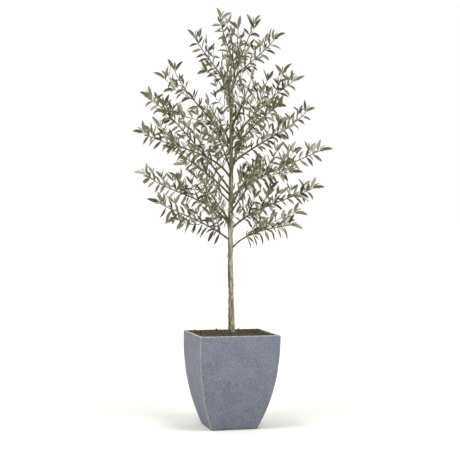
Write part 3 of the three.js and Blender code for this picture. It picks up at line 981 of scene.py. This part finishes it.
# Angle from the twig in degrees, and how far the leaf then hangs.
AHEAD_SPREAD = {"angle": 27, "droop": 0.0}
TIP_UPPER_SPREAD = {"angle": 54, "droop": -0.1}
TIP_LOWER_SPREAD = {"angle": 5, "droop": -0.1}
UPPER_SPREAD = {"angle": 52, "droop": 0.0}
LOWER_SPREAD = {"angle": 50, "droop": 0.1}
HANGING_SPREAD = {"angle": 65, "droop": 0.5}
SIDE_SPREAD = {"angle": 55, "droop": 0.2}
YOUNG_SPREAD = {"angle": 20, "droop": 0.0}


def joint_swelling(along, joints):
    """How much thicker the wood is at a distance along it, by the nearest joint."""
    if not joints:
        return 1
    gap = min(abs(along - joint) for joint in joints)
    return 1 + JOINT_SWELLING * math.exp(-((gap / JOINT_LENGTH) ** 2))


def grow_limb(number, row):
    """A limb's own line, its bare share and its leafy stems: the limb's end and its forks."""
    height, azimuth, reach, rise, leave, arrive, bare = row
    foot = trunk_centre(height * MM)
    line = rising_curve(foot, azimuth, reach * MM, rise * MM, leave, arrive)
    strength = min(1, line.length / LIMB_FULL_LENGTH)
    foot_radius = lerp(LIMB_TIP_RADIUS, LIMB_FOOT_RADIUS, strength)
    stem = {
        "family": number,
        "line": line.part(bare, 1),
        "radii": (lerp(foot_radius, LIMB_TIP_RADIUS, bare**TAPER), LIMB_TIP_RADIUS),
        "first": FIRST_NODE if bare else TRUNK_NODE,
        "shaded": 0 if bare else SHADED_LENGTH,
        "spacing": WIDE_SPACING if number in CROWDED else LEAF_SPACING,
        "finer": number not in CROWDED,
        "lower": HANGING_SPREAD if number in HANGING else LOWER_SPREAD,
    }
    stems = [stem]
    carried = [fork for fork in FORKS + FINER_FORKS if fork[0] == number]
    for place, (_, share, turn, far, high, start, end) in enumerate(carried):
        fork_foot = line.point(share)
        fork_line = rising_curve(fork_foot, turn, far * MM, high * MM, start, end)
        stems.append(
            {
                "family": number + (place + 1) / 10,
                "line": fork_line.part(0, 1),
                "radii": FORK_RADII,
                "first": FORK_NODE,
                "shaded": 0,
                "spacing": stem["spacing"],
                "finer": False,
                "lower": LOWER_SPREAD,
            }
        )
    return {"number": number, "line": line, "bare": bare, "foot_radius": foot_radius, "stems": stems}


limbs = [grow_limb(i + 1, row) for i, row in enumerate(LIMBS)]

# %% Boughs
BOUGH_JOINT = 32 * MM
BOUGH_JOINTS = 5
BOUGH_RELIEF = (0.5 * MM, 5 * MM)


def bough_mesh(limb):
    wood = new_wood("bough", 4)
    bare = limb["line"].part(0, limb["bare"])
    count = round(bare.length / WOOD_STEP)
    bare = Line([bare.point(share) for share in np.linspace(0, 1, count)])
    joints = [BOUGH_JOINT * (i + 1) for i in range(BOUGH_JOINTS)]
    radii = []
    for share in bare.shares:
        along = share * bare.length
        radius = lerp(limb["foot_radius"], LIMB_TIP_RADIUS, (share * limb["bare"]) ** TAPER)
        collar = COLLAR * math.exp(-along / COLLAR_LENGTH)
        radii.append(radius * joint_swelling(along, joints) + collar)
    add_wood(wood, bare, radii)
    shape = wood_shape(wood)
    ruffle(shape, *BOUGH_RELIEF, limb["number"])
    return mesh_of(f"bough_{limb['number']:02d}", shape, BARK_ANGLE)


for limb in limbs:
    if limb["bare"]:
        tag = f"{limb['number']:02d}"
        make_piece(f"bark_bough_{tag}", bough_mesh(limb), [bough_bark], [f"bough_{tag}"])

# %% [markdown]
# ## Leaves
# An olive leaf is leathery, narrow and pointed at both ends, about six centimetres long and
# a quarter as wide. Its upper side is dark grey-green and its underside silvery with fine
# scales, and the midrib shows as a paler band. One blade is a small grid: its rows are drawn to
# the leaf's outline, it is given a thickness, the faces that look down get the underside's
# material, and the faces along the midrib get the next paler tone.

# %% One blade
# The outline from stalk to tip: share of the length, and half width as a share of the widest.
LEAF_OUTLINE = [(0, 0.1), (0.07, 0.12), (0.22, 0.6), (0.45, 1), (0.7, 0.86), (0.88, 0.45), (1, 0.04)]
# The lines along the blade from edge to edge: the midrib and the bounds of its pale band.
LEAF_LINES = (-0.5, -0.2, 0, 0.2, 0.5)
LEAF_THICKNESS = 0.011  # share of the length
LEAF_FOLD = 0.6  # how far the halves of the blade fold up from the midrib
ON_MIDRIB = 1e-6
UNDERSIDE_RISE = -0.5  # the normal of a face that looks down rises less than this


def one_blade():
    """A closed leaf along +X, one unit long and one unit wide, with its upper side up."""
    blade = bmesh.new()
    rows, columns = len(LEAF_OUTLINE) - 1, len(LEAF_LINES) - 1
    bmesh.ops.create_grid(blade, x_segments=rows, y_segments=columns, size=0.5)
    for vertex in blade.verts:
        share, half_width = LEAF_OUTLINE[round((vertex.co.x + 0.5) * rows)]
        side = LEAF_LINES[round((vertex.co.y + 0.5) * columns)]
        vertex.co = (share, side * half_width, 0)
    bmesh.ops.solidify(blade, geom=blade.faces[:], thickness=LEAF_THICKNESS)
    bmesh.ops.recalc_face_normals(blade, faces=blade.faces)
    for face in blade.faces:
        by_midrib = min(abs(vertex.co.y) for vertex in face.verts) < ON_MIDRIB
        face.material_index = int(face.normal.z < UNDERSIDE_RISE) + 2 * by_midrib
    return shape_arrays(blade)


blade_points, blade_faces, blade_looks = one_blade()
print("one leaf:", len(blade_faces), "faces")

# %% [markdown]
# ### Where leaves grow
# Leaves stand in opposite pairs, and each pair is turned a quarter from the one before it.
# In their axils sit short side shoots and rosettes of young leaves, and a shoot ends in an open
# pair with a young leaf between. A few short shoots also sprout from the trunk itself. Each
# pair with a young leaf between. A few short shoots also sprout from the trunk itself. Each
# blade bends under its weight, and on the lowest boughs the lower leaves hang. These functions
# only note each leaf's root, directions, size and bend; the mesh is made from the notes
# in one go. Every choice has a draw number of its own, so that no two choices are tied.

# %% Leaf and shoot rule
LEAF_LENGTH = 60 * MM
LEAF_WIDTH = 14.5 * MM
YOUNG_WIDTH = 0.27  # a young leaf is broader for its length
YOUNG_CHANCE = 0.5
TRUNK_SHOOTS = 11  # short shoots on the trunk itself, between the boughs
TRUNK_SHOOT_HEIGHTS = (1300 * MM, 1630 * MM)
TRUNK_SHOOT_LENGTHS = (75 * MM, 110 * MM)
TRUNK_SHOOT_TURN = math.radians(137.5)
BOX_MARGIN = 7 * MM
BOX_FACING = 0.1  # a leaf heads for a wall of the box if its direction points there by this
TIP_SIZE = 1.1  # size of the leaves at a limb's tip
TIP_LOWER_SIZE = 1.05  # of the lower leaf of an open pair, by the upper one
TIP_UPPER_PLACE = 0.98  # share of the shoot where its upper leaf stands
AHEAD_SIZE = 0.65  # of the young leaf between them
UPPER_SIZE = 0.9  # of the upper leaf at a joint, by the lower one
HANGING_SIZE = 1.2
SIDE_SIZE = 0.85
YOUNG_SIZE = 0.45
PAIR_SIZES = (0.88, 1.12)
ROSETTE_SIZES = (0.4, 0.72)
ROSETTE_ANGLES = (22, 60)
ROSETTE_TURN = 0.7
SHOOT_SIZES = (0.72, 0.96)
JOINT_SIZES = (0.8, 1.05)
STEM_SIZES = (0.8, 1.04)
SIDE_PAIRS = 0.15  # share of the joints with a second pair, to the sides
SAG_AHEAD = 0.35  # how far a leaf on an upright line sags along its stem instead of down
ROLL = (0.8, 1.5)  # turn about the midrib: a level blade has none, one on its edge 1.57
TIP_ROLL = 1.35
CURL = (0.2, 1.1)
CURL_RARITY = 1.5  # the higher, the fewer leaves curl far
LEAST_CURL = 0.05
LONGEST_SHOOT = 110 * MM
SHORTEST_SHOOT = 46 * MM
SHOOT_ANGLE = math.radians(50)
SHOOT_FOLLOW = 0.35
SHOOT_LIFT = 0.5
SHOOT_VARY = (0.75, 1.15)
SHOOT_JOINT = 33 * MM
SHOOT_HANDLE = 0.67  # how far a shoot's curve is drawn to its bend
SHOOT_CUTS = 16
SPRAY_TONES = (2, 2, 3)  # leaf tones from dark to pale that a spray may have
# How many tones a leaf is paler than its spray, each as likely as the others.
TONE_STEPS = (1, 0, 0, -1, -1, -1, -2, -2)
YOUNG_STEPS = (1, 0, 0)
SILVER_LEAVES = 0.02
SILVER_TONE = 5

twig_wood = new_wood("twigs", 1)
notes = {"low": [], "middle": [], "top": []}


def tone_of(family):
    return SPRAY_TONES[int(chance(family, 41) * len(SPRAY_TONES))]


def room(root, chord, length):
    """The part of a leaf's length that keeps its tip inside the box of the solids."""
    for low, high, start, step in zip(*cad_box, root, chord):
        if abs(step) > BOX_FACING:
            wall = high - BOX_MARGIN if step > 0 else low + BOX_MARGIN
            length = min(length, (wall - start) / step)
    return length


def add_leaf(sprays, line, share, spread, turn, roll, length, seed, young=False):
    """Notes one leaf at a share of a line."""
    along = line.heading(share)
    direction = branch_off(along, turn, math.radians(spread["angle"]))
    direction.z -= spread["droop"]
    direction.normalize()
    sag = along * SAG_AHEAD - UP
    sag = (sag - direction * sag.dot(direction)).normalized()
    width = length * YOUNG_WIDTH if young else LEAF_WIDTH * length / LEAF_LENGTH
    level = math.hypot(direction.x, direction.y)
    curl = lerp(*CURL, chance(seed, 21) ** CURL_RARITY) * level + LEAST_CURL
    steps = YOUNG_STEPS if young else TONE_STEPS
    tone = sprays["tone"] + steps[int(chance(seed, 43) * len(steps))]
    if chance(seed, 44) < SILVER_LEAVES:
        tone = SILVER_TONE
    root = line.point(share)
    chord = direction * (math.sin(curl) / curl) + sag * ((1 - math.cos(curl)) / curl)
    length = room(root, chord, length)
    sprays["leaves"].append((root, direction, sag, length, width, curl, roll, tone))


def add_pair(sprays, line, share, spread, turn, roll, length, seed, young=False):
    """An opposite pair of leaves whose lengths differ a little."""
    for side in (0, 1):
        size = length * between(*PAIR_SIZES, seed + side, 22)
        facing = roll if side == 0 else -roll
        add_leaf(
            sprays, line, share, spread, turn + side * math.pi, facing, size, seed + side, young
        )


def add_rosette(sprays, line, share, turn, seed):
    """A few young leaves in the axil of an older one."""
    for side in (-1, 1):
        if chance(seed, 31 + side) < YOUNG_CHANCE:
            size = LEAF_LENGTH * between(*ROSETTE_SIZES, seed, 33 + side)
            spread = {"angle": between(*ROSETTE_ANGLES, seed, 35 + side), "droop": 0.0}
            roll = roll_of(seed, 37 + side)
            lean = turn + side * ROSETTE_TURN
            add_leaf(sprays, line, share, spread, lean, roll, size, seed, True)


def roll_of(seed, draw):
    """A turn about the midrib to one side or the other."""
    share = 2 * chance(seed, draw) - 1
    return math.copysign(lerp(*ROLL, abs(share)), share)


def add_joint(sprays, line, share, lean, size, seed, lower=LOWER_SPREAD):
    """The pair at a joint: one leaf stands up, the other arches down or hangs."""
    roll = roll_of(seed, 9)
    low_roll, low_size = -roll, size
    if lower is HANGING_SPREAD:
        low_roll, low_size = TIP_ROLL, size * HANGING_SIZE
    up = lean + math.pi / 2
    add_leaf(sprays, line, share, UPPER_SPREAD, up, roll, size * UPPER_SIZE, seed)
    add_leaf(sprays, line, share, lower, lean - math.pi / 2, low_roll, low_size, seed + 1)


def end_spray(sprays, line, lean, size, seed):
    """The end of a shoot: an open pair with a young leaf between them."""
    roll = math.copysign(TIP_ROLL, roll_of(seed, 10))
    up = lean + math.pi / 2
    low_size = size * TIP_LOWER_SIZE
    add_leaf(sprays, line, 1, AHEAD_SPREAD, up, roll / 2, size * AHEAD_SIZE, seed, True)
    add_leaf(sprays, line, 1, TIP_LOWER_SPREAD, up + math.pi, roll, low_size, seed + 1)
    add_leaf(sprays, line, TIP_UPPER_PLACE, TIP_UPPER_SPREAD, up, -roll, size, seed + 2)


def add_twig(line, ends, joints):
    """Adds a twig, which tapers from one radius to another and swells at its joints."""
    radii = [lerp(*ends, at) * joint_swelling(at * line.length, joints) for at in line.shares]
    add_wood(twig_wood, line, radii)


def add_shoot(sprays, stem_line, share, turn, length, lift, family):
    """A side shoot leaves its stem at an angle, turns up towards the light and leafs out."""
    along = stem_line.heading(share)
    start = branch_off(along, turn, SHOOT_ANGLE)
    rising = (start.lerp(along, SHOOT_FOLLOW) + UP * lift).normalized()
    foot = stem_line.point(share)
    bend = foot + start * length / 2
    tip = bend + rising * length / 2
    handles = (foot.lerp(bend, SHOOT_HANDLE), tip.lerp(bend, SHOOT_HANDLE))
    line = Line(geometry.interpolate_bezier(foot, *handles, tip, SHOOT_CUTS))
    joints = max(1, round(length / SHOOT_JOINT))
    wood_joints = [line.length * i / joints for i in range(joints)]
    line = line.part(0, 1)
    add_twig(line, SHOOT_RADII, wood_joints)
    sprays["tone"] = tone_of(family)
    size = LEAF_LENGTH * between(*SHOOT_SIZES, family, 7)
    for i in range(1, joints):
        seed = family + i / 7
        lean = LEAN * (2 * chance(seed, 4) - 1)
        add_joint(sprays, line, i / joints, lean, size * between(*JOINT_SIZES, seed, 10), seed)
        if chance(seed, 12) < SHOOT_ROSETTES:
            add_rosette(sprays, line, i / joints, lean + math.pi / 2, seed)
    end_spray(sprays, line, LEAN * (2 * chance(family, 5) - 1), size, family)


def leaf_out(sprays, stem):
    """A stem's side shoots by the rule, then its own leaves with finer shoots between them."""
    line = stem["line"]
    family = stem["family"]
    first = stem["first"] / line.length
    count = round((line.length - stem["first"]) / NODE_SPACING)
    for i in range(0, count, 2):
        seed = family + (i + 1) / 1000
        flip = round(chance(seed, 1)) * math.pi
        turn = i * math.pi / 2 + flip + NODE_WANDER * (chance(seed, 2) - 0.5)
        share = lerp(first, 1, i / count)
        reach = lerp(LONGEST_SHOOT, SHORTEST_SHOOT, share) * between(*SHOOT_VARY, seed, 3)
        add_shoot(sprays, line, share, turn, reach, SHOOT_LIFT, seed)
    tone = tone_of(family)
    leafy = max(first, stem["shaded"] / line.length)
    joints = round((1 - leafy) * line.length / stem["spacing"])
    for i in range(joints):
        seed = family + (i + 1) / 370
        share = lerp(leafy, 1, i / joints)
        lean = LEAN * (2 * chance(seed, 18) - 1)
        if i % 2 and stem["finer"]:
            reach = min(lerp(*FINER_REACH, share), FINER_SHARE * line.length)
            reach *= between(*SHOOT_VARY, seed, 16)
            add_shoot(sprays, line, share, lean + math.pi / 2, reach, FINER_LIFT, seed + 5)
        sprays["tone"] = tone
        size = LEAF_LENGTH * between(*STEM_SIZES, seed, 8)
        add_joint(sprays, line, share, lean, size, seed, stem["lower"])
        if stem["finer"] and chance(seed, 19) < SIDE_PAIRS:
            roll = roll_of(seed, 20)
            add_pair(sprays, line, share, SIDE_SPREAD, lean, roll, size * SIDE_SIZE, seed + 7)
        if share > TUFTED_PART or stem["finer"] and chance(seed, 17) < STEM_ROSETTES:
            add_rosette(sprays, line, share, lean + math.pi / 2, seed)
    sprays["tone"] = tone
    lean = LEAN * (chance(family, 5) - 0.5)
    end_spray(sprays, line, lean, LEAF_LENGTH * TIP_SIZE, family)
    young = LEAF_LENGTH * YOUNG_SIZE
    add_pair(sprays, line, 1, YOUNG_SPREAD, lean, TIP_ROLL, young, family + 3, True)
    wood_joints = [lerp(leafy, 1, i / joints) * line.length for i in range(joints)]
    add_twig(line, stem["radii"], wood_joints)


# %% Grow the crown
LAST_LOW_LIMB = 11
LAST_MIDDLE_LIMB = 23
TOP_SHOOTS = 1500 * MM  # shoots on the trunk above this height belong to the top


def storey(number):
    """The part of the crown that a limb belongs to."""
    if number <= LAST_LOW_LIMB:
        return "low"
    return "middle" if number <= LAST_MIDDLE_LIMB else "top"


masses = {part: [] for part in notes}
for limb in limbs:
    part = storey(limb["number"])
    masses[part].append(f"foliage_{limb['number']:02d}")
    sprays = {"leaves": notes[part], "tone": 0}
    for stem in limb["stems"]:
        leaf_out(sprays, stem)
for i in range(TRUNK_SHOOTS):
    seed = len(LIMBS) + (i + 1) / 50
    height = lerp(*TRUNK_SHOOT_HEIGHTS, i / (TRUNK_SHOOTS - 1))
    share = np.interp(height, trunk.points[:, 2], trunk.shares)
    reach = between(*TRUNK_SHOOT_LENGTHS, seed, 3)
    part = "middle" if height < TOP_SHOOTS else "top"
    sprays = {"leaves": notes[part], "tone": 0}
    add_shoot(sprays, trunk, share, i * TRUNK_SHOOT_TURN, reach, SHOOT_LIFT, seed)
print("leaves:", {part: len(found) for part, found in notes.items()})


# %% [markdown]
# ### From notes to leaves
# A leaf's midrib is an arc that leaves the twig in the leaf's direction and sags by its curl.
# The blade's rows stand across the arc, turned about the midrib by the leaf's roll. Doing this on
# arrays bends and places all the leaves of a storey of the crown at once.

# %% Leaf meshes
def bend_and_place(found):
    """The vertices of every noted leaf, as an array of leaf, vertex and coordinate."""
    roots, directions, sags = (np.array([tuple(leaf[k]) for leaf in found]) for k in range(3))
    length, width, curl, roll = (np.array([leaf[k] for leaf in found])[:, None] for k in range(3, 7))
    share, side, depth = blade_points.T
    angle = curl * share
    # The arc's own frame: ahead along the midrib, inward to the arc's centre, and level across.
    level = np.cross(directions, sags)
    ahead = np.sin(angle) / curl * length
    inward = (1 - np.cos(angle)) / curl * length
    # The blade's width and its upper side, first in that frame, then in the leaf's directions.
    wide = side * width
    thick = depth * length + LEAF_FOLD * abs(side) * width
    bent = wide * np.sin(roll) - thick * np.cos(roll)
    ahead -= bent * np.sin(angle)
    inward += bent * np.cos(angle)
    across = wide * np.cos(roll) + thick * np.sin(roll)
    parts = ((ahead, directions), (inward, sags), (across, level))
    return roots[:, None, :] + sum(amount[:, :, None] * axis[:, None, :] for amount, axis in parts)


# %% [markdown]
# ### Olive leaf
# The upper side has a thin wax that gives a soft gloss; the underside is covered with tiny
# silver scales and stays matt. Sprays differ: new growth is paler and warmer, old leaves are
# darker. Each spray is dealt a pair of colours, some of its leaves are a tone paler or darker,
# a few turn up silver, and a fine mottle breaks them all up.

# %% Leaf finishes
LEAF_TONES = [
    ("#332f1a", "#524e36"),
    ("#4e492f", "#6e6950"),
    ("#635e43", "#848066"),
    ("#7b765a", "#9b967d"),
    ("#918c71", "#aba791"),
    ("#96968a", "#bdbdb4"),
    ("#a8a89d", "#c9c9c2"),
]


def leaf_finish(name, colour, roughness, specular):
    material, tree, shader = new_finish(name, colour, roughness, specular)
    shaded = {"Color": linear(colour), "Value": 0.82}
    darker = add_node(tree, "ShaderNodeHueSaturation", "Color", shaded)
    mottled = layered(tree, darker, [(colour, grains(tree, 9 * MM), 0.35, 0.65)])
    set_inputs(shader, {"Base Color": mottled})
    return material


leaf_materials = []
for tone, (upper, lower) in enumerate(LEAF_TONES):
    leaf_materials.append(leaf_finish(f"olive_leaf_upper_{tone + 1}", upper, 0.5, 0.4))
    leaf_materials.append(leaf_finish(f"olive_leaf_lower_{tone + 1}", lower, 0.72, 0.25))

for part, found in notes.items():
    placed = bend_and_place(found)
    first_looks = [2 * leaf[7] for leaf in found]
    mesh = repeated_mesh(f"leaves_{part}", placed, blade_faces, blade_looks, first_looks)
    make_piece(f"leaves_{part}", mesh, leaf_materials, masses[part])

# %% Twig mesh
twig_bark = olive_bark("twig_bark", "#3b3720", "#544f34", "#7a7557", 4 * MM, 2)
twig_mesh = mesh_of("twigs", wood_shape(twig_wood), BARK_ANGLE)
make_piece("twigs", twig_mesh, [twig_bark])

# %% [markdown]
# ## Stage and light
# A catalogue picture stands the plant on pale paper in a white room. The room lights it from
# all sides, and two wide keys from high on the left and on the right give the leaves and the
# trunk their form. Each key throws the planter's soft shade to the other side of its foot.

# %% Stage
FLOOR_SIZE = 400

floor_shape = bmesh.new()
bmesh.ops.create_grid(floor_shape, x_segments=1, y_segments=1, size=FLOOR_SIZE / 2)
floor_mesh = mesh_of("floor", floor_shape)
floor_material, *_ = new_finish("pale_paper", "#d4d3ce", 0.9, 0.1)
floor_mesh.materials.append(floor_material)
floor = show("floor", floor_mesh)

# %% Light
KEY_ANGLE = math.radians(20)
KEY_ELEVATION = 63
# Two soft keys: name, strength and azimuth.
KEYS = [("key_right", 1.5, 300), ("key_left", 1.4, 215)]

world = bpy.data.worlds.new("white_room")
bpy.context.scene.world = world
world.use_nodes = True
background = world.node_tree.nodes["Background"]
background.inputs["Color"].default_value = (1, 1, 1, 1)
background.inputs["Strength"].default_value = 1

for name, strength, azimuth in KEYS:
    key_data = bpy.data.lights.new(name, "SUN")
    key_data.energy = strength
    key_data.angle = KEY_ANGLE
    key = show(name, key_data)
    shine = -heading(azimuth, KEY_ELEVATION)
    key.rotation_euler = shine.to_track_quat("-Z", "Y").to_euler()

bpy.context.scene.view_settings.view_transform = "Standard"
bpy.context.scene.view_settings.look = "None"
